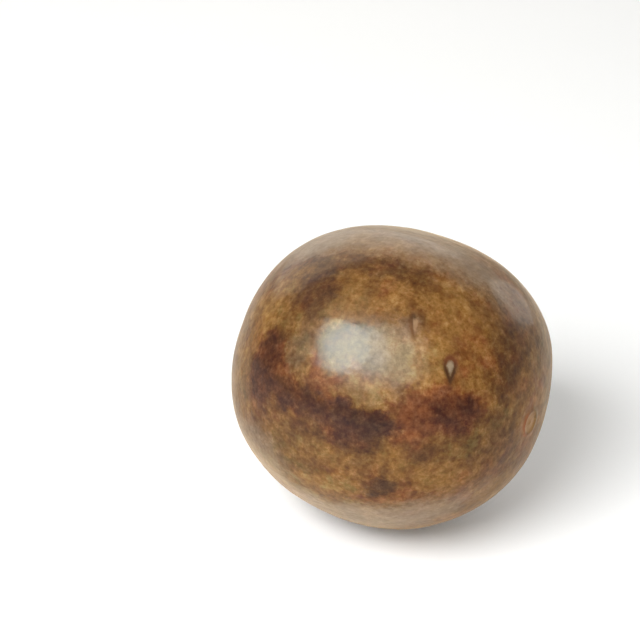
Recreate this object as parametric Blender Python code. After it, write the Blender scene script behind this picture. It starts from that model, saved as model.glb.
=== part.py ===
# A whole dried monk fruit lying on its side: one solid, as it grew.
# Units are metres. +X runs along the fruit from its stem end to its style end, +Z is up,
# and the origin is the middle of the small flat spot that the fruit rests on.

import math

import bmesh
import bpy
from mathutils import Vector

MM = 0.001

# The body is an ellipsoid that is nearly a ball
LENGTH = 59.2 * MM
GIRTH = 58.0 * MM

# Broad shoulders and flatter places: a direction from the middle of the fruit and a height there
SWELLING_REACH = math.radians(20.0)
SWELLINGS = (
    (Vector((0.75, 0.57, 0.32)), 1.35 * MM),
    (Vector((0.10, 0.57, 0.81)), -1.20 * MM),
    (Vector((-0.75, 0.06, 0.66)), 0.75 * MM),
    (Vector((-0.81, -0.54, -0.22)), 0.95 * MM),
    (Vector((-0.10, -0.57, -0.81)), -0.75 * MM),
    (Vector((0.84, 0.07, -0.53)), 0.40 * MM),
)
STYLE_END_REACH = math.radians(18.0)
STYLE_END_FLATTENING = 0.6 * MM

# Faint ribs run from end to end, some stronger than others
RIB_COUNT = 10
RIB_HEIGHT = 0.11 * MM
RIB_UNEVENNESS = 0.5

# Long shallow ripples left by drying: waves along the fruit, waves round it, height, turn
RIPPLES = (
    (3.0, 2, 0.12 * MM, 0.4),
    (5.0, 3, 0.08 * MM, 2.1),
    (7.0, 5, 0.05 * MM, 4.4),
)

# Style scar: a low ring round a sunken disc with a pip in the middle
STYLE_SCAR_DIRECTION = Vector((0.995, -0.085, -0.010))
STYLE_RING_RADIUS = 2.3 * MM
STYLE_RING_WIDTH = 0.36 * MM
STYLE_RING_HEIGHT = 0.20 * MM
STYLE_DISC_DEPTH = 0.24 * MM
STYLE_DISC_RADIUS = 1.6 * MM
STYLE_PIP_RADIUS = 0.45 * MM
STYLE_PIP_HEIGHT = 0.30 * MM
STYLE_MOAT_RADIUS = 3.4 * MM
STYLE_MOAT_WIDTH = 0.72 * MM
STYLE_MOAT_DEPTH = 0.10 * MM

# Stem scar: a dimple with the broken stub of the stalk, hollow where the pith was
STEM_SCAR_DIRECTION = Vector((-0.994, 0.06, 0.09))
STEM_DIMPLE_RADIUS = 4.4 * MM
STEM_DIMPLE_DEPTH = 1.15 * MM
STEM_STUB_RADIUS = 1.9 * MM
STEM_STUB_HEIGHT = 1.30 * MM
STEM_STUB_SLOPE = 0.30 * MM
STEM_STUB_CORNERS = 3
STEM_STUB_UNROUNDNESS = 0.06
STEM_PITH_RADIUS = 0.80 * MM
STEM_PITH_DEPTH = 0.60 * MM
STEM_FOLDS = 7
STEM_FOLD_HEIGHT = 0.12 * MM

# Tear-shaped marks: a rounded head, a pointed tip, and a groove that follows the outline
MARK_GROOVE_WIDTH = 0.24
MARK_LIP_POSITION = 1.55
MARK_LIP_WIDTH = 0.26
MARK_HEAD_SHARE = 0.36
MARK_TIP_POWER = 1.25
MARK_FLOOR = (0.7, 1.1)
NO_MARK_HERE = 10.0
MARKS = (
    {
        "head": Vector((0.615, -0.518, 0.594)),
        "tip": Vector((0.654, -0.601, 0.460)),
        "width": 2.6 * MM,
        "groove": 0.34 * MM,
        "sunk": 0.12 * MM,
        "lip": 0.07 * MM,
    },
    {
        "head": Vector((0.351, -0.471, 0.809)),
        "tip": Vector((0.404, -0.581, 0.706)),
        "width": 1.9 * MM,
        "groove": 0.20 * MM,
        "sunk": 0.08 * MM,
        "lip": 0.05 * MM,
    },
)

# Resting flat
FLAT_RADIUS = 4.6 * MM

# Mesh: an even ball of triangles, made finer round the marks and the two scars
BALL_SUBDIVISIONS = 5
MARK_FINE_REACH = (5.4 * MM, 4.2 * MM, 3.3 * MM)
STYLE_FINE_REACH = (6.0 * MM, 4.2 * MM, 3.0 * MM)
STEM_FINE_REACH = (7.0 * MM, 4.2 * MM, 2.4 * MM)

RIND_COLOUR = (0.202, 0.095, 0.040, 1.0)
RIND_ROUGHNESS = 0.38
RIND_METALLIC = 0.0


def clear_scene():
    for item in list(bpy.data.objects):
        bpy.data.objects.remove(item, do_unlink=True)


def bump(distance, width):
    return math.exp(-((distance / width) ** 2))


def ramp(value, low, high):
    t = min(max((value - low) / (high - low), 0.0), 1.0)
    return t * t * (3.0 - 2.0 * t)


def body_radius(direction):
    """Distance from the middle of the fruit to its rind, without the scars and marks."""
    across = math.hypot(direction.y, direction.z)
    radius = 1.0 / math.hypot(2.0 * direction.x / LENGTH, 2.0 * across / GIRTH)
    for centre, height in SWELLINGS:
        nearness = direction.dot(centre.normalized())
        radius += height * math.exp((nearness - 1.0) / SWELLING_REACH ** 2)
    radius -= STYLE_END_FLATTENING * math.exp((direction.x - 1.0) / STYLE_END_REACH ** 2)
    bearing = math.atan2(direction.y, direction.z)
    strength = 1.0 + RIB_UNEVENNESS * math.sin(2.0 * bearing + direction.x)
    radius += RIB_HEIGHT * strength * across ** 2 * math.cos(RIB_COUNT * bearing + direction.x)
    for along, around, height, turn in RIPPLES:
        wave = math.sin(along * direction.x + turn) * math.cos(around * bearing + turn)
        radius += height * across ** 2 * wave
    return radius


def distance_on_rind(direction, centre):
    return (direction - centre.normalized()).length * GIRTH / 2.0


def style_scar(direction):
    away = distance_on_rind(direction, STYLE_SCAR_DIRECTION)
    height = STYLE_RING_HEIGHT * bump(away - STYLE_RING_RADIUS, STYLE_RING_WIDTH)
    height -= STYLE_DISC_DEPTH * (1.0 - ramp(away, STYLE_DISC_RADIUS, STYLE_RING_RADIUS))
    height += STYLE_PIP_HEIGHT * bump(away, STYLE_PIP_RADIUS)
    height -= STYLE_MOAT_DEPTH * bump(away - STYLE_MOAT_RADIUS, STYLE_MOAT_WIDTH)
    return height


def stem_scar(direction):
    away = distance_on_rind(direction, STEM_SCAR_DIRECTION)
    turn = math.atan2(direction.y, direction.z)
    fold = STEM_FOLD_HEIGHT * math.cos(STEM_FOLDS * turn) * bump(away - STEM_DIMPLE_RADIUS, STEM_STUB_RADIUS)
    stub_edge = STEM_STUB_RADIUS * (1.0 + STEM_STUB_UNROUNDNESS * math.cos(STEM_STUB_CORNERS * turn))
    height = fold - STEM_DIMPLE_DEPTH * bump(away, STEM_DIMPLE_RADIUS)
    height += STEM_STUB_HEIGHT * (1.0 - ramp(away, stub_edge - STEM_STUB_SLOPE, stub_edge + STEM_STUB_SLOPE))
    height -= STEM_PITH_DEPTH * bump(away, STEM_PITH_RADIUS)
    return height


def mark_reach(direction, mark):
    """0 in the middle of a tear-shaped mark, 1 on its outline, and more outside it."""
    head = mark["head"].normalized()
    tip = mark["tip"].normalized()
    if direction.dot(head) < 0.0:
        return NO_MARK_HERE
    lengthwise = tip - head
    length = lengthwise.length
    lengthwise.normalize()
    sideways = lengthwise.cross(head).normalized()
    along = (direction - head).dot(lengthwise) / length - MARK_HEAD_SHARE
    across = abs((direction - head).dot(sideways)) * GIRTH / mark["width"]
    if along < 0.0:
        return math.hypot(along / MARK_HEAD_SHARE, across)
    along = along / (1.0 - MARK_HEAD_SHARE)
    return (along ** MARK_TIP_POWER + across ** MARK_TIP_POWER) ** (1.0 / MARK_TIP_POWER)


def tear_mark(direction, mark):
    reach = mark_reach(direction, mark)
    height = mark["lip"] * bump(reach - MARK_LIP_POSITION, MARK_LIP_WIDTH)
    height -= mark["groove"] * bump(reach - 1.0, MARK_GROOVE_WIDTH)
    height -= mark["sunk"] * (1.0 - ramp(reach, *MARK_FLOOR))
    return height


def rind_radius(direction):
    radius = body_radius(direction) + style_scar(direction) + stem_scar(direction)
    for mark in MARKS:
        radius += tear_mark(direction, mark)
    return radius


def refine(bm, centre, reach):
    """Halve the edges whose two ends both lie within reach of the centre, measured on the rind."""
    near = {vert for vert in bm.verts if distance_on_rind(vert.co.normalized(), centre) < reach}
    edges = [edge for edge in bm.edges if near.issuperset(edge.verts)]
    bmesh.ops.subdivide_edges(bm, edges=edges, cuts=1)
    bmesh.ops.triangulate(bm, faces=bm.faces[:])


def refine_for_details(bm):
    details = [(STYLE_SCAR_DIRECTION, STYLE_FINE_REACH), (STEM_SCAR_DIRECTION, STEM_FINE_REACH)]
    for mark in MARKS:
        details.append((mark["head"].normalized() + mark["tip"].normalized(), MARK_FINE_REACH))
    for centre, reaches in details:
        for reach in reaches:
            refine(bm, centre, reach)


def cut_resting_flat(bm):
    """Slice off a shallow cap under the middle of the fruit and close it with one flat face."""
    half = GIRTH / 2.0
    depth = half - math.sqrt(half ** 2 - FLAT_RADIUS ** 2)
    level = min(vert.co.z for vert in bm.verts) + depth
    cut = bmesh.ops.bisect_plane(
        bm,
        geom=bm.verts[:] + bm.edges[:] + bm.faces[:],
        plane_co=(0.0, 0.0, level),
        plane_no=(0.0, 0.0, 1.0),
        clear_inner=True,
    )
    rim = [item for item in cut["geom_cut"] if isinstance(item, bmesh.types.BMEdge)]
    bmesh.ops.edgeloop_fill(bm, edges=rim)
    return level


def place_on_origin(bm, level):
    xs = [vert.co.x for vert in bm.verts]
    ys = [vert.co.y for vert in bm.verts]
    middle = Vector(((min(xs) + max(xs)) / 2.0, (min(ys) + max(ys)) / 2.0, level))
    bmesh.ops.translate(bm, verts=bm.verts[:], vec=-middle)


def rind_material():
    material = bpy.data.materials.new("dried_rind")
    material.use_nodes = True
    shader = material.node_tree.nodes["Principled BSDF"]
    shader.inputs["Base Color"].default_value = RIND_COLOUR
    shader.inputs["Roughness"].default_value = RIND_ROUGHNESS
    shader.inputs["Metallic"].default_value = RIND_METALLIC
    return material


def make_monk_fruit():
    bm = bmesh.new()
    bmesh.ops.create_icosphere(bm, subdivisions=BALL_SUBDIVISIONS, radius=1.0)
    refine_for_details(bm)
    for vert in bm.verts:
        direction = vert.co.normalized()
        vert.co = direction * rind_radius(direction)
    level = cut_resting_flat(bm)
    place_on_origin(bm, level)
    bmesh.ops.recalc_face_normals(bm, faces=bm.faces[:])
    mesh = bpy.data.meshes.new("monk_fruit")
    bm.to_mesh(mesh)
    bm.free()
    mesh.shade_smooth()
    mesh.materials.append(rind_material())
    fruit = bpy.data.objects.new("monk_fruit", mesh)
    bpy.context.scene.collection.objects.link(fruit)
    return fruit


clear_scene()
make_monk_fruit()
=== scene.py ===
import math

import bpy
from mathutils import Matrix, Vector


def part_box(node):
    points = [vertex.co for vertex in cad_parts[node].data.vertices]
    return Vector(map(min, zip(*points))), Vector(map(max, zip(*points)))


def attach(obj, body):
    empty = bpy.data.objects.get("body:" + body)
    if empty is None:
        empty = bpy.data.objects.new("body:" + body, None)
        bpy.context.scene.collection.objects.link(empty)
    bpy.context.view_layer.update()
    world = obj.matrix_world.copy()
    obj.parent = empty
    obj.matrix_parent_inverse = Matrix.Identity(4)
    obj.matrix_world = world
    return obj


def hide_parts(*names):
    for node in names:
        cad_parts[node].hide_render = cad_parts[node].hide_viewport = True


mm = 0.001

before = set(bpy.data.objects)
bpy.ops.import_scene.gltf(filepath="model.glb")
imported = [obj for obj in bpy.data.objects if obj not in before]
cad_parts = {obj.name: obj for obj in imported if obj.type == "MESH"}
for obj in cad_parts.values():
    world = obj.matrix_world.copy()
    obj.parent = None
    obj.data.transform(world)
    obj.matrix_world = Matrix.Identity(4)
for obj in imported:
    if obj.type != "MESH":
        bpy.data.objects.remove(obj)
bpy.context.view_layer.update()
fruitLow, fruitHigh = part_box("monk_fruit")
fruitMiddle = (fruitLow + fruitHigh) / 2
print("frame loaded, fruit box", [round(size / mm, 1) for size in fruitHigh - fruitLow], "mm")


# A wire is a number or a vector on its way through a node tree, so that rules read as sums

class Wire:
    def __init__(self, tree, socket):
        self.tree = tree
        self.socket = socket

    def reckon(self, kind, operation, *values):
        node = addNode(self.tree, kind, dict(enumerate(values)), operation=operation)
        gives = "Value" if operation in ("DOT_PRODUCT", "DISTANCE") else 0
        return Wire(self.tree, node.outputs[gives])

    def calc(self, operation, *values):
        return self.reckon("ShaderNodeMath", operation, self, *values)

    def vector(self, operation, *values):
        return self.reckon("ShaderNodeVectorMath", operation, self, *values)

    def __add__(self, other):
        return self.calc("ADD", other)

    def __sub__(self, other):
        return self.calc("SUBTRACT", other)

    def __mul__(self, other):
        return self.calc("MULTIPLY", other)

    def __truediv__(self, other):
        return self.calc("DIVIDE", other)

    def __pow__(self, other):
        return self.calc("POWER", other)

    def __abs__(self):
        return self.calc("ABSOLUTE")

    # the same sums with a plain number in front
    def __radd__(self, other):
        return self.calc("ADD", other)

    def __rmul__(self, other):
        return self.calc("MULTIPLY", other)

    def __rsub__(self, other):
        return self.reckon("ShaderNodeMath", "SUBTRACT", other, self)

    def __rtruediv__(self, other):
        return self.reckon("ShaderNodeMath", "DIVIDE", other, self)


def plug(tree, slot, value):
    if isinstance(value, Wire):
        tree.links.new(value.socket, slot)
    elif isinstance(value, bpy.types.NodeSocket):
        tree.links.new(value, slot)
    else:
        slot.default_value = value


def addNode(tree, kind, inputs=None, **settings):
    node = tree.nodes.new(kind)
    for setting, value in settings.items():
        setattr(node, setting, value)
    for slot, value in (inputs or {}).items():
        plug(tree, node.inputs[slot], value)
    return node


def sine(wire):
    return wire.calc("SINE")


def cosine(wire):
    return wire.calc("COSINE")


def hump(wire, width):  # 1 in the middle, falling away on both sides
    share = wire / width
    return 1 / (share * share).calc("EXPONENT")


def ramp(wire, low, high):  # 0 below low, 1 above high, smooth between
    limits = dict(enumerate((wire, low, high, 0.0, 1.0)))
    node = addNode(wire.tree, "ShaderNodeMapRange", limits, interpolation_type="SMOOTHSTEP")
    return Wire(wire.tree, node.outputs[0])


def between(low, high, share):
    return low + (high - low) * share


def split(wire):
    node = addNode(wire.tree, "ShaderNodeSeparateXYZ", {0: wire})
    return [Wire(wire.tree, socket) for socket in node.outputs]


def combine(tree, x, y, z):
    node = addNode(tree, "ShaderNodeCombineXYZ", {0: x, 1: y, 2: z})
    return Wire(tree, node.outputs[0])


def stretched(wire, along):  # longer lumps along the fruit
    return wire.vector("MULTIPLY", (along, 1, 1))


shiftDirection = (1, 0.37, 0.71)


def noise(wire, size, detail, roughness, shift, colour=False):
    # size is how far apart its lumps lie, in metres, and shift sets one noise apart from another
    moved = wire.vector("ADD", [shift * share for share in shiftDirection])
    node = addNode(
        wire.tree,
        "ShaderNodeTexNoise",
        {"Vector": moved, "Scale": 1 / size, "Detail": detail, "Roughness": roughness},
    )
    return Wire(wire.tree, node.outputs["Color" if colour else 0])


# The form of the fruit: the same rule as the solid, with the fine relief added

form = {
    "length": 59.2 * mm,
    "girth": 58.0 * mm,
    "swellingReach": math.radians(20),
    "swellings": (
        ((0.75, 0.57, 0.32), 1.35 * mm),
        ((0.10, 0.57, 0.81), -1.20 * mm),
        ((-0.75, 0.06, 0.66), 0.75 * mm),
        ((-0.81, -0.54, -0.22), 0.95 * mm),
        ((-0.10, -0.57, -0.81), -0.75 * mm),
        ((0.84, 0.07, -0.53), 0.40 * mm),
    ),
    "styleEndReach": math.radians(18),
    "styleEndFlattening": 0.6 * mm,
    "ribs": 10,
    "ribHeight": 0.11 * mm,
    "ribUnevenness": 0.5,
    "ripples": (
        (3.0, 2, 0.12 * mm, 0.4),
        (5.0, 3, 0.08 * mm, 2.1),
        (7.0, 5, 0.05 * mm, 4.4),
    ),
    "restingFlat": 4.6 * mm,
    "meshLines": 128,
}

styleScar = {
    "place": (0.995, -0.085, -0.030),
    "ringRadius": 2.3 * mm,
    "ringWidth": 0.36 * mm,
    "ringHeight": 0.10 * mm,
    "discRadius": 1.6 * mm,
    "discDepth": 0.15 * mm,
    "pipRadius": 0.45 * mm,
    "pipHeight": 0.16 * mm,
    "moatRadius": 3.4 * mm,
    "moatWidth": 0.72 * mm,
    "moatDepth": 0.05 * mm,
}

stemScar = {
    "place": (-0.994, 0.06, 0.09),
    "dimpleRadius": 4.4 * mm,
    "dimpleDepth": 1.15 * mm,
    "stubRadius": 1.9 * mm,
    "stubHeight": 1.30 * mm,
    "stubSlope": 0.30 * mm,
    "stubCorners": 3,
    "stubUnroundness": 0.06,
    "pithRadius": 0.80 * mm,
    "pithDepth": 0.60 * mm,
    "folds": 7,
    "foldHeight": 0.12 * mm,
}

tearMarks = {
    "grooveWidth": 0.34,
    "lipPosition": 1.55,
    "lipWidth": 0.26,
    "headShare": 0.36,
    "tipPower": 1.25,
    "floor": (0.7, 1.1),
    "farReach": 10,
    "marks": (
        {
            "head": (0.618, -0.525, 0.583),
            "tip": (0.651, -0.594, 0.471),
            "width": 2.10 * mm,
            "groove": 0.05 * mm,
            "sunk": 0.05 * mm,
            "lip": 0.01 * mm,
        },
        {
            "head": (0.360, -0.488, 0.795),
            "tip": (0.404, -0.581, 0.706),
            "width": 1.65 * mm,
            "groove": 0.04 * mm,
            "sunk": 0.04 * mm,
            "lip": 0.01 * mm,
        },
    ),
}

# The fine relief: how high it stands, and the lump size, detail, roughness and shift of each noise
relief = {
    "wrinkleHeight": 0.055 * mm,
    "wrinkleStretch": 0.45,
    "wrinkles": (3.4 * mm, 3, 0.55, 0.11),
    "dentHeight": 0.14 * mm,
    "dents": (9.0 * mm, 1, 0.4, 0.23),
    "grainHeight": 0.02 * mm,
    "grain": (1.0 * mm, 2, 0.6, 0.31),
}

# Where the mesh lines are drawn closer together: a place, how far that reaches, how strongly
gatherings = (
    ((0.53, -0.55, 0.65), 0.30, 0.55),
    (styleScar["place"], 0.22, 0.55),
    (stemScar["place"], 0.24, 0.55),
)


def bearingRound(direction):  # the angle round the fruit's long axis
    y, z = split(direction)[1:]
    return y.calc("ARCTAN2", z)


def swellingRise(direction, centre, height, reach):
    nearness = direction.vector("DOT_PRODUCT", Vector(centre).normalized())
    fall = (nearness - 1) / reach ** 2
    return height * fall.calc("EXPONENT")


def bodyRadius(direction, sizes):
    x, y, z = split(direction)
    acrossSquared = y * y + z * z
    squares = (x * 2 / sizes["Length"]) ** 2 + acrossSquared * (2 / sizes["Girth"]) ** 2
    radius = 1 / squares ** 0.5
    for centre, height in form["swellings"]:
        radius = radius + swellingRise(direction, centre, height, form["swellingReach"])
    flattening = swellingRise(direction, (1, 0, 0), 1.0, form["styleEndReach"])
    radius = radius - flattening * sizes["Style end flattening"]
    bearing = bearingRound(direction)
    strength = sine(bearing * 2 + x) * form["ribUnevenness"] + 1
    rib = cosine(bearing * sizes["Ribs"] + x) * strength * sizes["Rib height"]
    rise = rib * acrossSquared
    for along, around, height, turn in form["ripples"]:
        wave = sine(x * along + turn) * cosine(bearing * around + turn)
        rise = rise + wave * acrossSquared * height
    return radius + rise


def awayFrom(direction, place):  # the straight gap between two places on the rind, in metres
    gap = direction.vector("DISTANCE", Vector(place).normalized())
    return gap * (form["girth"] / 2)


def styleScarRise(direction, height):
    away = awayFrom(direction, styleScar["place"])
    rise = hump(away - styleScar["ringRadius"], styleScar["ringWidth"]) * styleScar["ringHeight"]
    inDisc = 1 - ramp(away, styleScar["discRadius"], styleScar["ringRadius"])
    rise = rise - inDisc * styleScar["discDepth"]
    rise = rise + hump(away, styleScar["pipRadius"]) * styleScar["pipHeight"]
    moat = hump(away - styleScar["moatRadius"], styleScar["moatWidth"])
    return (rise - moat * styleScar["moatDepth"]) * height


def stubShare(direction):  # 1 on the broken end of the stalk
    away = awayFrom(direction, stemScar["place"])
    corners = cosine(bearingRound(direction) * stemScar["stubCorners"])
    edge = (corners * stemScar["stubUnroundness"] + 1) * stemScar["stubRadius"]
    return 1 - ramp(away, edge - stemScar["stubSlope"], edge + stemScar["stubSlope"])


def stemScarRise(direction, height):
    away = awayFrom(direction, stemScar["place"])
    folds = cosine(bearingRound(direction) * stemScar["folds"])
    brim = hump(away - stemScar["dimpleRadius"], stemScar["stubRadius"])
    rise = folds * brim * stemScar["foldHeight"]
    rise = rise - hump(away, stemScar["dimpleRadius"]) * stemScar["dimpleDepth"]
    rise = rise + stubShare(direction) * stemScar["stubHeight"]
    rise = rise - hump(away, stemScar["pithRadius"]) * stemScar["pithDepth"]
    return rise * height


def markPlace(direction, mark):
    # how far along a tear-shaped mark (0 at its widest), how far across, and its reach, 1 on its outline
    head = Vector(mark["head"]).normalized()
    tip = Vector(mark["tip"]).normalized()
    length = (tip - head).length
    lengthwise = (tip - head).normalized()
    sideways = lengthwise.cross(head).normalized()
    offset = direction.vector("SUBTRACT", head)
    along = offset.vector("DOT_PRODUCT", lengthwise) / length - tearMarks["headShare"]
    across = offset.vector("DOT_PRODUCT", sideways) * (form["girth"] / mark["width"])
    wide = abs(across)
    inHead = ((along / tearMarks["headShare"]) ** 2 + wide * wide) ** 0.5
    ahead = along.calc("MAXIMUM", 0.0) / (1 - tearMarks["headShare"])
    power = tearMarks["tipPower"]
    inTip = (ahead ** power + wide ** power) ** (1 / power)
    towardsTip = along.calc("GREATER_THAN", 0.0)
    onFarSide = direction.vector("DOT_PRODUCT", head).calc("LESS_THAN", 0.0)
    reach = inHead + (inTip - inHead) * towardsTip + onFarSide * tearMarks["farReach"]
    return along, across, reach


def tearMarkRise(direction, mark, depth):
    along, across, reach = markPlace(direction, mark)
    rise = hump(reach - tearMarks["lipPosition"], tearMarks["lipWidth"]) * mark["lip"]
    rise = rise - hump(reach - 1, tearMarks["grooveWidth"]) * mark["groove"]
    rise = rise - (1 - ramp(reach, *tearMarks["floor"])) * mark["sunk"]
    return rise * depth


def fineRelief(point, sizes):
    wrinkle = noise(stretched(point, relief["wrinkleStretch"]), *relief["wrinkles"]) - 0.5
    dent = noise(point, *relief["dents"]) - 0.5
    grain = noise(point, *relief["grain"]) - 0.5
    rise = wrinkle * (2 * sizes["Wrinkle height"]) + dent * (2 * sizes["Dent height"])
    return rise + grain * (2 * relief["grainHeight"])


def newTree(name, inputs):
    tree = bpy.data.node_groups.new(name, "GeometryNodeTree")
    tree.is_modifier = True
    for label, (kind, value) in inputs.items():
        socket = tree.interface.new_socket(label, in_out="INPUT", socket_type=kind)
        socket.default_value = value
    tree.interface.new_socket("Geometry", in_out="OUTPUT", socket_type="NodeSocketGeometry")
    entry = tree.nodes.new("NodeGroupInput")
    sizes = {label: Wire(tree, entry.outputs[label]) for label in inputs}
    return tree, sizes


def finishTree(tree, geometry, material):
    realized = addNode(tree, "GeometryNodeRealizeInstances", {0: geometry})
    painted = addNode(tree, "GeometryNodeSetMaterial", {0: realized.outputs[0], "Material": material})
    leaving = tree.nodes.new("NodeGroupOutput")
    tree.links.new(painted.outputs[0], leaving.inputs[0])


def growPiece(name, tree, inputs):
    # runs the tree once and keeps the result as a plain mesh
    piece = bpy.data.objects.new(name, bpy.data.meshes.new(name))
    bpy.context.scene.collection.objects.link(piece)
    modifier = piece.modifiers.new("grow", "NODES")
    modifier.node_group = tree
    for socket in tree.interface.items_tree:
        if socket.in_out == "INPUT":
            modifier[socket.identifier] = inputs[socket.name][1]
    graph = bpy.context.evaluated_depsgraph_get()
    grown = bpy.data.meshes.new_from_object(
        piece.evaluated_get(graph), preserve_all_data_layers=True, depsgraph=graph
    )
    piece.modifiers.remove(modifier)
    piece.data = grown
    print(name, "grown,", sum(len(face.vertices) - 2 for face in grown.polygons), "triangles")
    return piece


def placed(tree, mesh, place, how="Position"):
    return addNode(tree, "GeometryNodeSetPosition", {0: mesh, how: place}).outputs[0]


def gathered(direction):
    for place, reach, strength in gatherings:
        target = Vector(place).normalized()
        pull = hump(direction.vector("DISTANCE", target), reach) * strength
        towards = direction.reckon("ShaderNodeVectorMath", "SUBTRACT", target, direction)
        direction = direction.vector("ADD", towards.vector("MULTIPLY", pull)).vector("NORMALIZE")
    return direction


def makeFruit(material):
    inputs = {
        "Mesh lines": ("NodeSocketInt", form["meshLines"]),
        "Length": ("NodeSocketFloat", form["length"]),
        "Girth": ("NodeSocketFloat", form["girth"]),
        "Style end flattening": ("NodeSocketFloat", form["styleEndFlattening"]),
        "Ribs": ("NodeSocketInt", form["ribs"]),
        "Rib height": ("NodeSocketFloat", form["ribHeight"]),
        "Style scar height": ("NodeSocketFloat", 1.0),
        "Stem scar height": ("NodeSocketFloat", 1.0),
        "Mark depth": ("NodeSocketFloat", 1.0),
        "Wrinkle height": ("NodeSocketFloat", relief["wrinkleHeight"]),
        "Dent height": ("NodeSocketFloat", relief["dentHeight"]),
        "Resting flat radius": ("NodeSocketFloat", form["restingFlat"]),
    }
    tree, sizes = newTree("monkFruitForm", inputs)

    # a cube of even squares, blown up into a ball whose lines gather round the scars and marks
    lines = sizes["Mesh lines"]
    cube = addNode(
        tree,
        "GeometryNodeMeshCube",
        {"Size": (2, 2, 2), "Vertices X": lines, "Vertices Y": lines, "Vertices Z": lines},
    )
    position = Wire(tree, tree.nodes.new("GeometryNodeInputPosition").outputs[0])
    faceEdge = math.radians(45)  # from the middle of a face of the cube to its edge, seen from inside
    evened = position.vector("MULTIPLY", (faceEdge,) * 3).vector("TANGENT").vector("NORMALIZE")
    kept = addNode(
        tree,
        "GeometryNodeStoreNamedAttribute",
        {0: placed(tree, cube.outputs[0], gathered(evened)), "Name": "rindDirection", "Value": position},
        data_type="FLOAT_VECTOR",
        domain="POINT",
    )

    # the fruit's own form, then its scars and marks, then the fine relief
    radius = bodyRadius(position, sizes)
    radius = radius + styleScarRise(position, sizes["Style scar height"])
    radius = radius + stemScarRise(position, sizes["Stem scar height"])
    for mark in tearMarks["marks"]:
        radius = radius + tearMarkRise(position, mark, sizes["Mark depth"])
    point = position.vector("MULTIPLY", (form["girth"] / 2,) * 3)
    radius = radius + fineRelief(point, sizes)
    shaped = placed(tree, kept.outputs[0], position.vector("MULTIPLY", radius))

    # set down on its resting flat, in the middle of the solid's box
    box = addNode(tree, "GeometryNodeBoundBox", {0: shaped})
    lowX, lowY, lowZ = split(Wire(tree, box.outputs["Min"]))
    highX, highY = split(Wire(tree, box.outputs["Max"]))[:2]
    half = sizes["Girth"] / 2
    flat = sizes["Resting flat radius"]
    depth = half - (half * half - flat * flat) ** 0.5
    offset = combine(
        tree,
        fruitMiddle.x - (lowX + highX) / 2,
        fruitMiddle.y - (lowY + highY) / 2,
        fruitLow.z - lowZ - depth,
    )
    lowered = placed(tree, shaped, offset, "Offset")
    x, y, z = split(position)
    resting = placed(tree, lowered, combine(tree, x, y, z.calc("MAXIMUM", fruitLow.z)))
    smooth = addNode(tree, "GeometryNodeSetShadeSmooth", {0: resting})
    finishTree(tree, smooth.outputs[0], material)
    return growPiece("driedMonkFruit", tree, inputs)


# The finish of the rind

def tint(red, green, blue):  # a colour as read off a screen, made linear
    channels = []
    for channel in (red, green, blue):
        share = channel / 255
        channels.append(share / 12.92 if share <= 0.04045 else ((share + 0.055) / 1.055) ** 2.4)
    return (*channels, 1.0)


rind = {
    # each from darkest to lightest
    "olives": ((0.0, tint(29, 19, 3)), (0.28, tint(48, 33, 7)), (0.53, tint(75, 56, 19)),
               (0.73, tint(97, 76, 35)), (0.87, tint(116, 95, 51)), (1.0, tint(139, 118, 74))),
    "goldenBrowns": ((0.0, tint(29, 14, 3)), (0.28, tint(50, 26, 6)), (0.53, tint(79, 49, 15)),
                     (0.73, tint(104, 70, 28)), (0.87, tint(123, 88, 42)), (1.0, tint(146, 111, 64))),
    "redBrowns": ((0.0, tint(29, 11, 3)), (0.28, tint(50, 21, 6)), (0.53, tint(79, 40, 14)),
                  (0.73, tint(103, 58, 23)), (0.87, tint(122, 76, 35)), (1.0, tint(144, 101, 56))),
    # how red the rind is where olive turns golden, and where golden turns reddish
    "goldenFrom": (-0.15, 0.35),
    "reddishFrom": (0.35, 0.95),
    "darkestLight": -0.4,  # this and all below it take the darkest colour
    # broad zones, running lengthwise: their contrast and their middle
    "zoneStretch": 0.55,
    "zoneLight": (1.0, 0.45),
    "zoneRed": (1.9, 0.50),
    "patchStrength": 0.58,
    "patchEdge": (0.55, 1.35),
    "raggedness": 0.16,
    "mottleStrength": 0.86,
    "redMottleStrength": 1.15,
    # fine flecks pale or darken every channel alike, so they look dusty and not golden
    "fleckStrength": 0.27,
    "dustFleckStrength": 0.18,
    # fine pale threads, where the mottling is light
    "threadStrength": 0.035,
    "threadWidth": 0.05,
    "threadsFrom": (-0.02, 0.08),
    # how much the flecks fade under the dust and under the painted reflection along the rims
    "flecksLostInDustAndReflection": 0.6,
    # grey-tan dust, which at the top and bottom rims is also the colour of a painted reflection
    "dustAndReflectionColour": tint(126, 109, 91),
    # a broad soft gloss, and a thin waxy skin over it that gives the crisp middle of the shine
    "roughness": 0.50,
    "roughnessUnevenness": 0.22,
    "stubRoughness": 0.3,
    "refraction": 1.5,
    "shine": 0.08,
    "skin": 0.23,
    "skinRoughness": 0.17,
    # the dusty bloom of fine hairs that pales the rind where it turns away
    "bloom": 0.32,
    "bloomSpread": 0.34,
    "bloomColour": tint(245, 212, 158),
}

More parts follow.
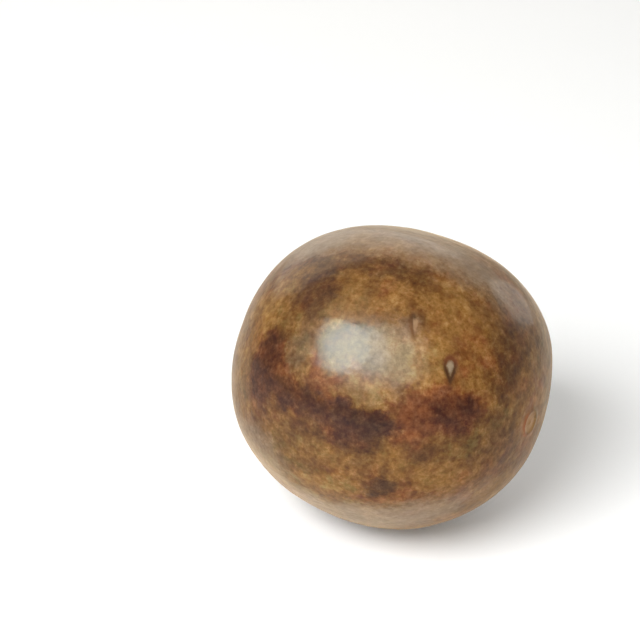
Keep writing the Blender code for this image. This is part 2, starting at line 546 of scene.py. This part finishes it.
# The noise of each layer: the size of its lumps, its detail, its roughness and its shift
layers = {
    "zoneLight": (15.0 * mm, 3, 0.6, 0.05),
    "zoneRed": (12.0 * mm, 3, 0.6, 0.71),
    "patchEdges": (5.0 * mm, 4, 0.7, 0.4),
    "mottle": (4.0 * mm, 2, 0.76, 0.92),
    "redMottle": (2.6 * mm, 3, 0.6, 0.13),
    "flecks": (1.3 * mm, 3, 0.65, 0.57),
    "dustFlecks": (0.7 * mm, 3, 0.7, 0.21),
    "threads": (2.2 * mm, 3, 0.6, 0.39),
    "roughness": (2.6 * mm, 5, 0.7, 0.66),
    "scarBlotches": (0.7 * mm, 4, 0.7, 0.27),
    "scarUnevenness": (2.0 * mm, 3, 0.6, 0.83),
    "bumpWrinkles": (2.0 * mm, 3, 0.55, 0.81),
    "bumpPores": (0.6 * mm, 2, 0.5, 0.44),
    "bumpCreases": (4.2 * mm, 2, 0.5, 0.19),
}

# Larger patches seen on the fruit: degrees from the middle towards the style end, degrees round from
# the top, half length and half width in mm, how light and how red. 0 to 1 is the usual range of the
# last two, and a value past it holds against the mottling.
patches = {
    "ochre shoulder": (-38, 41, 6.0, 5.5, 0.82, 0.28),
    "ochre left side": (-52, 52, 4.5, 7.0, 0.60, 0.30),
    "ochre upper left": (-35, 27, 4.5, 4.0, 0.54, 0.35),
    "dark shoulder": (-17, 29, 5.0, 5.5, -0.06, 0.78),
    "purple side": (-31, 65, 4.0, 7.0, -0.16, 1.00),
    "brown low on the left": (-20, 72, 4.4, 3.6, 0.02, 0.75),
    "orange left edge": (-46, 54, 3.2, 5.4, 0.52, 0.55),
    "pale left edge": (-46, 78, 3.4, 6.0, 0.58, 0.15),
    "red under the shine": (-12, 72, 6.0, 2.8, -0.08, 0.85),
    "tan low on the left": (-16, 95, 5.5, 5.0, 0.54, 0.05),
    "dark middle": (7, 75, 7.0, 3.4, -0.34, 0.90),
    "darkest middle": (19, 76, 3.0, 3.0, -0.16, 0.90),
    "low gold": (1, 91, 5.5, 3.0, 0.66, 0.00),
    "top gold": (-5, 27, 3.4, 3.2, 0.74, 0.30),
    "top orange": (11, 27, 5.0, 3.6, 0.70, 0.50),
    "right gold": (34, 24, 6.5, 5.0, 0.78, 0.40),
    "pale top": (8, 4, 14.0, 4.6, 0.84, 0.30),
    "dark upper edge": (1, 16, 9.0, 2.0, 0.26, 0.55),
    "dark far edge": (33, 2, 6.0, 2.4, 0.40, 0.35),
    "olive under the shine": (2, 49, 6.2, 5.2, 0.16, -0.20),
    "dull under the shine": (-1, 49, 4.6, 4.4, 0.12, -0.10),
    "dull right of the shine": (10, 49, 4.2, 4.2, 0.18, -0.20),
    "tan beside the shine": (20, 50, 4.4, 4.6, 0.64, -0.35),
    "tan below the shine": (13, 65, 5.0, 2.6, 0.78, -0.35),
    "tan past the shine": (31, 50, 4.0, 3.6, 0.86, 0.00),
    "tan above the shine": (-3, 38, 4.0, 2.4, 0.68, 0.15),
    "tan left of the shine": (-14, 60, 2.4, 2.6, 0.50, -0.10),
    "yellow low edge": (-28, 112, 8.0, 4.0, 0.84, -0.10),
    "rust middle": (31, 74, 3.6, 6.0, 0.52, 1.15),
    "maroon": (46, 67, 5.0, 4.4, -0.12, 1.40),
    "rust right": (45, 35, 4.5, 4.4, 0.50, 0.80),
    "tan right": (53, 47, 3.2, 3.4, 0.44, 0.35),
    "dark right": (60, 10, 5.0, 6.0, 0.08, 0.45),
    "olive right": (65, 80, 4.4, 5.0, 0.22, 0.30),
    "orange above the shine": (1, 37, 6.5, 2.6, 0.68, 0.45),
    "tan left of the shine top": (-15, 48, 2.6, 3.0, 0.42, 0.30),
    "tan between the marks": (30, 40, 3.4, 3.0, 0.72, 0.28),
    "brown far right": (63, 38, 3.2, 4.4, 0.06, 0.50),
    "pale low left": (-6, 107, 4.2, 2.6, 0.80, 0.25),
    "dark low": (35, 88, 3.4, 2.4, 0.14, 0.60),
    "low right gold": (41, 101, 5.0, 3.0, 0.72, 0.15),
    "rusty brown low": (10, 83, 4.4, 2.2, 0.00, 0.70),
    "tan at the bottom": (4, 104, 4.5, 2.4, 0.74, -0.20),
    "low spot": (20, 103, 2.8, 2.2, -0.10, 0.45),
    "olive above the dusty rim": (6, 116, 14.0, 2.6, 0.58, -0.05),
    "low orange": (25, 90, 3.0, 2.4, 0.66, 0.45),
    "style end orange": (84, 95, 4.5, 4.5, 0.70, 0.60),
    "gold under right": (57, 139, 5.0, 5.0, 0.68, 0.35),
    "olive gap": (-18, 55, 3.0, 3.4, 0.22, -0.10),
}

# Where the rind is dusty and its mottling fainter: real dust, and at the top and bottom rims also a
# painted reflection of the pale bands there. The same four measures, then how strongly
dustAndReflectionPlaces = {
    "top": (-4, -5, 20.0, 7.6, 0.46),
    "top left": (-32, -2, 8.0, 6.5, 0.52),
    "far top": (26, -10, 11.0, 4.0, 0.24),
    "under the front": (12, 127, 18.0, 6.0, 0.56),
    "low left": (-34, 108, 8.0, 6.0, 0.42),
    "right of the shine": (18, 46, 5.0, 6.0, 0.30),
    "left of the shine": (-17, 54, 3.0, 5.0, 0.10),
    "below the shine": (13, 62, 5.0, 3.0, 0.12),
}


def onFruit(along, around):
    along = math.radians(along)
    around = math.radians(around)
    return Vector(
        (math.sin(along), -math.cos(along) * math.sin(around), math.cos(along) * math.cos(around))
    )


def colourRamp(wire, stops):
    node = addNode(wire.tree, "ShaderNodeValToRGB", {0: wire})
    elements = node.color_ramp.elements
    while len(elements) < len(stops):
        elements.new(0.5)
    for element, (position, colour) in zip(elements, stops):
        element.position = position
        element.color = colour
    return Wire(wire.tree, node.outputs[0])


def mixColours(factor, first, second):
    # 6, 7 and 2 are the colour sockets of a Mix node
    node = addNode(factor.tree, "ShaderNodeMix", {0: factor, 6: first, 7: second}, data_type="RGBA")
    return Wire(factor.tree, node.outputs[2])


def patchShare(direction, along, around, halfLength, halfWidth):
    place = onFruit(along, around)
    lengthwise = (Vector((1, 0, 0)) - place * place.x).normalized()
    sideways = lengthwise.cross(place)
    offset = direction.vector("SUBTRACT", place)
    scale = form["girth"] / 2 / mm
    alongShare = offset.vector("DOT_PRODUCT", lengthwise * (scale / halfLength))
    acrossShare = offset.vector("DOT_PRODUCT", sideways * (scale / halfWidth))
    reach = (alongShare * alongShare + acrossShare * acrossShare) ** 0.5
    return 1 - ramp(reach, *rind["patchEdge"])


def layer(point, name):  # from -0.5 to 0.5
    return noise(point, *layers[name]) - 0.5


def zones(point, name):
    contrast, middle = rind[name]
    return layer(stretched(point, rind["zoneStretch"]), name) * contrast + middle


def fleckedWithDust(colour, dust):
    # adds the same step on the eye's own scale to all three channels
    eyeGamma = 2.2
    darkest = 0.02
    seen = addNode(colour.tree, "ShaderNodeGamma", {"Color": colour, "Gamma": 1 / eyeGamma})
    stepped = Wire(colour.tree, seen.outputs[0]).vector("ADD", combine(colour.tree, dust, dust, dust))
    kept = stepped.vector("MAXIMUM", (darkest,) * 3)
    linear = addNode(colour.tree, "ShaderNodeGamma", {"Color": kept, "Gamma": eyeGamma})
    return Wire(colour.tree, linear.outputs[0])


def fineDust(point, mottle):
    dust = layer(point, "flecks") * rind["fleckStrength"]
    dust = dust + layer(point, "dustFlecks") * rind["dustFleckStrength"]
    thread = 1 - ramp(abs(layer(point, "threads")), 0.0, rind["threadWidth"])
    return dust + thread * ramp(mottle, *rind["threadsFrom"]) * rind["threadStrength"]


# how much dust lies at each point, and at the top and bottom rims how much painted reflection
def dustAndReflectionShare(direction):
    clean = 1
    for *place, strength in dustAndReflectionPlaces.values():
        clean = (1 - patchShare(direction, *place) * strength) * clean
    return 1 - clean


def mottledColour(point, direction):
    # ragged edges: the place that a patch is read at wanders
    wander = noise(point, *layers["patchEdges"], colour=True).vector("SUBTRACT", (0.5, 0.5, 0.5))
    wandering = direction.vector("ADD", wander.vector("MULTIPLY", (2 * rind["raggedness"],) * 3))

    # broad zones, then the patches seen on the fruit, then the mottling over both
    light = zones(point, "zoneLight")
    red = zones(point, "zoneRed")
    for *place, patchLight, patchRed in patches.values():
        share = patchShare(wandering, *place) * rind["patchStrength"]
        light = between(light, patchLight, share)
        red = between(red, patchRed, share)
    mottle = layer(point, "mottle")
    light = light + mottle * rind["mottleStrength"]
    light = (light - rind["darkestLight"]) / (1 - rind["darkestLight"])
    red = red + layer(point, "redMottle") * rind["redMottleStrength"]

    golden = mixColours(
        ramp(red, *rind["goldenFrom"]),
        colourRamp(light, rind["olives"]),
        colourRamp(light, rind["goldenBrowns"]),
    )
    colour = mixColours(ramp(red, *rind["reddishFrom"]), golden, colourRamp(light, rind["redBrowns"]))
    # grey dust mixed in, which along the top and bottom rims is partly a painted reflection
    dustAndReflection = dustAndReflectionShare(wandering)
    colour = mixColours(dustAndReflection, colour, rind["dustAndReflectionColour"])
    return fleckedWithDust(colour, fineDust(point, mottle) * (1 - dustAndReflection * rind["flecksLostInDustAndReflection"]))


# Style scar: a tan disc in a ring, rusty on its front side, olive at the back, faint above and below
styleScarPaint = {
    "fineRaggedness": 0.8 * mm,
    "broadRaggedness": 2.4 * mm,
    "disc": tint(150, 114, 66),
    "discStrength": 0.45,
    "discInset": 0.3 * mm,
    "frontRing": tint(124, 62, 22),
    "backRing": tint(84, 66, 26),
    "ringTurns": (-0.3, 0.3),
    "ringOutset": 0.25 * mm,
    "ringWidth": 0.5 * mm,
    "faintestRing": 0.12,
    "ringStrength": 0.65,
    "ringClearFrom": (0.25, 0.85),
    "pip": tint(90, 58, 32),
    "pipWidth": 0.5 * mm,
    "pipStrength": 0.15,
}


def paintStyleScar(colour, direction, blotchy, uneven):
    paint = styleScarPaint
    away = awayFrom(direction, styleScar["place"])
    away = away + blotchy * paint["fineRaggedness"] + uneven * paint["broadRaggedness"]
    disc = 1 - ramp(away, styleScar["discRadius"] - paint["discInset"], styleScar["ringRadius"])
    colour = mixColours(disc * paint["discStrength"], colour, paint["disc"])
    offset = direction.vector("SUBTRACT", Vector(styleScar["place"]).normalized())
    side = split(offset)[1] * (form["girth"] / 2 / styleScar["ringRadius"])
    ringTint = mixColours(ramp(side + uneven, *paint["ringTurns"]), paint["frontRing"], paint["backRing"])
    clear = ramp(abs(side) + blotchy, *paint["ringClearFrom"])
    ring = hump(away - styleScar["ringRadius"] - paint["ringOutset"], paint["ringWidth"])
    strength = ring * (clear * paint["ringStrength"] + paint["faintestRing"])
    colour = mixColours(strength, colour, ringTint)
    return mixColours(hump(away, paint["pipWidth"]) * paint["pipStrength"], colour, paint["pip"])


# Stem scar: a darker dimple, and a pale woody stub with painted shade in the crevice round it, and a dark
# pith
stemScarPaint = {
    "raggedness": 0.6 * mm,
    "dimple": tint(72, 46, 26),
    "dimpleStrength": 0.6,
    "dimpleEdge": (2.0 * mm, 5.0 * mm),
    "darkWood": tint(84, 60, 36),
    "paleWood": tint(134, 106, 70),
    "woodTurns": (-0.12, 0.12),
    "woodStrength": 0.9,
    # painted shade that darkens the crevice round the stub
    "creviceShade": tint(44, 26, 14),
    "creviceShadeStrength": 0.75,
    "creviceOutset": 0.3 * mm,
    "creviceWidth": 0.45 * mm,
    "pith": tint(60, 40, 24),
    "pithStrength": 0.8,
}


def paintStemScar(colour, direction, blotchy):
    paint = stemScarPaint
    away = awayFrom(direction, stemScar["place"]) + blotchy * paint["raggedness"]
    dimple = 1 - ramp(away, *paint["dimpleEdge"])
    colour = mixColours(dimple * paint["dimpleStrength"], colour, paint["dimple"])
    wood = mixColours(ramp(blotchy, *paint["woodTurns"]), paint["darkWood"], paint["paleWood"])
    colour = mixColours(stubShare(direction) * paint["woodStrength"], colour, wood)
    # painted shade: a dark ring in the crevice round the stub
    creviceShade = hump(away - stemScar["stubRadius"] - paint["creviceOutset"], paint["creviceWidth"])
    colour = mixColours(creviceShade * paint["creviceShadeStrength"], colour, paint["creviceShade"])
    pith = hump(away, stemScar["pithRadius"])
    return mixColours(pith * paint["pithStrength"], colour, paint["pith"])


# Tear-shaped marks: a dark rim that is rusty at the head, and a pale face with one side in the brown. On
# the second mark that brown side and its rim are painted shade on the sunken mark's shaded wall, and its
# pale other side is painted light on the lit wall.
# Places and widths are shares of the mark's own size.
markPaint = {
    "fineRaggedness": 0.7,
    "broadRaggedness": 0.3,
    "rimReach": 0.95,
    "rimWidth": 0.46,
    "tipFrom": (-0.35, 0.25),
    "spot": tint(52, 33, 12),
    "spotBack": 0.28,
    "spotSquash": 3,
    "spotSize": 0.34,
    "marks": (
        {
            "face": tint(122, 107, 86),
            "headRim": tint(78, 38, 14),
            "tipRim": tint(44, 22, 2),
            "brownAndShadedSide": (0.5, 1.0),
            "faceStrength": 0.90,
            "faceEdge": (0.40, 0.90),
            "rimStrength": 0.95,
            "rimSide": (-9, -8),  # right round
            "spotStrength": 0.0,
        },
        {
            "face": tint(130, 102, 74),
            "headRim": tint(62, 36, 12),
            "tipRim": tint(84, 52, 24),
            # painted shade: this half of the face darkened where the sunken mark's wall is in shade
            "brownAndShadedSide": (0.15, 0.55),
            "faceStrength": 0.85,
            "faceEdge": (0.45, 1.05),
            "rimStrength": 0.75,
            # the rim only on the shaded side, painted shade
            "rimSide": (-0.6, 0.3),
            "spotStrength": 0.80,
        },
    ),
}


def paintMark(colour, direction, mark, paint, blotchy, uneven):
    along, across, reach = markPlace(direction, mark)
    ragged = reach + blotchy * markPaint["fineRaggedness"] + uneven * markPaint["broadRaggedness"]
    face = 1 - ramp(ragged, *paint["faceEdge"])
    # one side of the face turns brown, which on the second mark is painted shade
    faceColour = mixColours(ramp(across, *paint["brownAndShadedSide"]), paint["face"], paint["headRim"])
    colour = mixColours(face * paint["faceStrength"], colour, faceColour)
    rim = hump(ragged - markPaint["rimReach"], markPaint["rimWidth"]) * ramp(across, *paint["rimSide"])
    rimColour = mixColours(ramp(along, *markPaint["tipFrom"]), paint["headRim"], paint["tipRim"])
    colour = mixColours(rim * paint["rimStrength"], colour, rimColour)
    back = (along + markPaint["spotBack"]) * markPaint["spotSquash"]
    fromSpot = (back * back + across * across) ** 0.5
    spot = hump(fromSpot, markPaint["spotSize"]) * paint["spotStrength"]
    return mixColours(spot, colour, markPaint["spot"])


def paintScars(colour, direction, point):
    blotchy = layer(point, "scarBlotches")
    uneven = layer(point, "scarUnevenness")
    colour = paintStyleScar(colour, direction, blotchy, uneven)
    colour = paintStemScar(colour, direction, blotchy)
    for mark, paint in zip(tearMarks["marks"], markPaint["marks"]):
        colour = paintMark(colour, direction, mark, paint, blotchy, uneven)
    return colour


# Finer than the mesh: wrinkles, pores and thin creases, the last two as shares of the first
rindGrain = {
    "depth": 0.12 * mm,
    "wrinkleStretch": 0.6,
    "poreShare": 0.12,
    "creaseShare": 0.12,
    "creaseWidth": 0.05,
}


def rindBump(tree, point):
    wrinkles = noise(stretched(point, rindGrain["wrinkleStretch"]), *layers["bumpWrinkles"])
    pores = noise(point, *layers["bumpPores"])
    creases = hump(layer(point, "bumpCreases"), rindGrain["creaseWidth"])
    height = wrinkles + pores * rindGrain["poreShare"] - creases * rindGrain["creaseShare"]
    settings = {"Strength": 1.0, "Distance": rindGrain["depth"], "Height": height}
    return addNode(tree, "ShaderNodeBump", settings).outputs[0]


def newMaterial(name):
    material = bpy.data.materials.new(name)
    material.use_nodes = True
    return material, material.node_tree.nodes["Principled BSDF"]


def makeRind():
    material, shader = newMaterial("driedRind")
    tree = material.node_tree
    point = Wire(tree, tree.nodes.new("ShaderNodeTexCoord").outputs["Object"])
    kept = addNode(tree, "ShaderNodeAttribute", attribute_name="rindDirection")
    direction = Wire(tree, kept.outputs["Vector"]).vector("NORMALIZE")

    colour = paintScars(mottledColour(point, direction), direction, point)
    roughness = layer(point, "roughness") * rind["roughnessUnevenness"] + rind["roughness"]
    roughness = roughness + stubShare(direction) * rind["stubRoughness"]
    looks = {
        "Base Color": colour,
        "Roughness": roughness,
        "Normal": rindBump(tree, point),
        "IOR": rind["refraction"],
        "Specular IOR Level": rind["shine"],
        "Coat Weight": rind["skin"],
        "Coat Roughness": rind["skinRoughness"],
        "Sheen Weight": rind["bloom"],
        "Sheen Roughness": rind["bloomSpread"],
        "Sheen Tint": rind["bloomColour"],
    }
    for socket, look in looks.items():
        plug(tree, shader.inputs[socket], look)
    print("rind mixed,", len(patches), "patches and", len(dustAndReflectionPlaces), "dusty places")
    return material


# Stage: a white table, soft light and the camera

stage = {
    "tableSize": 3.0,
    "tableColour": (0.925, 0.935, 0.945, 1),
    "tableRoughness": 0.6,
    "azimuth": 26.0,
    "elevation": 30.0,
    "distance": 0.4527,
    "lens": 135.0,
    "sensorWidth": 36.0,
    "aimRight": -13.19 * mm,
    "aimUp": 10.36 * mm,
}

# The room: how bright it is behind the camera, and behind the table from the horizon to overhead
room = {
    "front": 0.48,
    "frontColour": (1, 0.98, 0.92, 1),
    "behind": ((0.0, 0.62), (0.17, 0.62), (0.40, 0.66), (0.62, 0.62), (0.80, 0.50), (1.0, 0.46)),
    "turnsAt": (-0.15, 0.45),
    "cornerBearing": -125,
    "cornerReach": (0.25, 0.80),
    "cornerLight": 0.15,
}

# Lights: degrees right of the camera's line, degrees up, distance, width, height, power, colour,
# and whether each gives soft light, a shine or both
lights = {
    "keySoftbox": (-39, 44, 0.60, 0.52, 0.32, 4.7, (1, 1, 1), "both"),
    "shineCard": (-55, 42, 0.60, 0.42, 0.36, 8.2, (0.86, 1, 0.96), "shine"),
    "shineHalo": (-16, 43, 0.60, 0.86, 0.48, 6.0, (0.93, 1, 0.92), "shine"),
    "backCard": (-165, 24, 0.60, 0.90, 0.56, 3.2, (1, 0.95, 0.86), "shine"),
    "rightCard": (132, 8, 0.60, 0.24, 0.22, 0.5, (1, 0.95, 0.86), "shine"),
    "frontFill": (20, 12, 0.90, 0.90, 0.35, 3.4, (1, 1, 1), "soft"),
}


def aroundCamera(bearing, height):
    # a direction from the fruit, turned to the right of the line towards the camera
    turn = math.radians(stage["azimuth"] + bearing)
    rise = math.radians(height)
    return Vector((math.sin(turn) * math.cos(rise), -math.cos(turn) * math.cos(rise), math.sin(rise)))


def makeTable():
    half = stage["tableSize"] / 2
    corners = [(-half, -half, 0), (half, -half, 0), (half, half, 0), (-half, half, 0)]
    mesh = bpy.data.meshes.new("table")
    mesh.from_pydata(corners, [], [(0, 1, 2, 3)])
    table = bpy.data.objects.new("whiteTable", mesh)
    bpy.context.scene.collection.objects.link(table)
    material, shader = newMaterial("whiteTableTop")
    shader.inputs["Base Color"].default_value = stage["tableColour"]
    shader.inputs["Roughness"].default_value = stage["tableRoughness"]
    mesh.materials.append(material)


def makeLights():
    for name, (bearing, height, distance, width, tall, power, colour, gives) in lights.items():
        lamp = bpy.data.lights.new(name, "AREA")
        lamp.shape = "RECTANGLE" if gives == "soft" else "ELLIPSE"
        lamp.size = width
        lamp.size_y = tall
        lamp.energy = power
        lamp.color = colour
        holder = bpy.data.objects.new(name, lamp)
        bpy.context.scene.collection.objects.link(holder)
        towards = aroundCamera(bearing, height)
        holder.location = fruitMiddle + towards * distance
        holder.rotation_euler = towards.to_track_quat("Z", "Y").to_euler()
        holder.visible_camera = False
        holder.visible_diffuse = gives != "shine"
        holder.visible_glossy = gives != "soft"


def makeRoom():
    world = bpy.data.worlds.new("paleRoom")
    bpy.context.scene.world = world
    world.use_nodes = True
    tree = world.node_tree
    direction = Wire(tree, tree.nodes.new("ShaderNodeTexCoord").outputs["Generated"])
    height = split(direction)[2]
    brightest = max(strength for level, strength in room["behind"])
    greys = [(level, (strength / brightest,) * 3 + (1,)) for level, strength in room["behind"]]
    wall = split(colourRamp(height, greys))[0] * brightest
    towardsWall = direction.vector("DOT_PRODUCT", -aroundCamera(0, 0))
    onWall = ramp(towardsWall, *room["turnsAt"])
    strength = between(room["front"], wall, onWall)
    towardsCorner = direction.vector("DOT_PRODUCT", aroundCamera(room["cornerBearing"], 0))
    strength = strength * (1 - ramp(towardsCorner, *room["cornerReach"]) * (1 - room["cornerLight"]))
    background = tree.nodes["Background"]
    plug(tree, background.inputs["Color"], mixColours(onWall, room["frontColour"], (1, 1, 1, 1)))
    plug(tree, background.inputs["Strength"], strength)


def makeCamera():
    lens = bpy.data.cameras.new("camera")
    lens.lens = stage["lens"]
    lens.sensor_width = stage["sensorWidth"]
    camera = bpy.data.objects.new("camera", lens)
    bpy.context.scene.collection.objects.link(camera)
    back = aroundCamera(0, stage["elevation"])
    turn = math.radians(stage["azimuth"])
    right = Vector((math.cos(turn), math.sin(turn), 0))
    up = back.cross(right)
    aim = fruitMiddle + right * stage["aimRight"] + up * stage["aimUp"]
    camera.location = aim + back * stage["distance"]
    camera.rotation_euler = back.to_track_quat("Z", "Y").to_euler()
    bpy.context.scene.camera = camera


rindFinish = makeRind()
fruit = makeFruit(rindFinish)
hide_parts("monk_fruit")
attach(fruit, "root")

makeTable()
makeLights()
makeRoom()
makeCamera()
bpy.context.scene.view_settings.view_transform = "Standard"
print("stage ready")
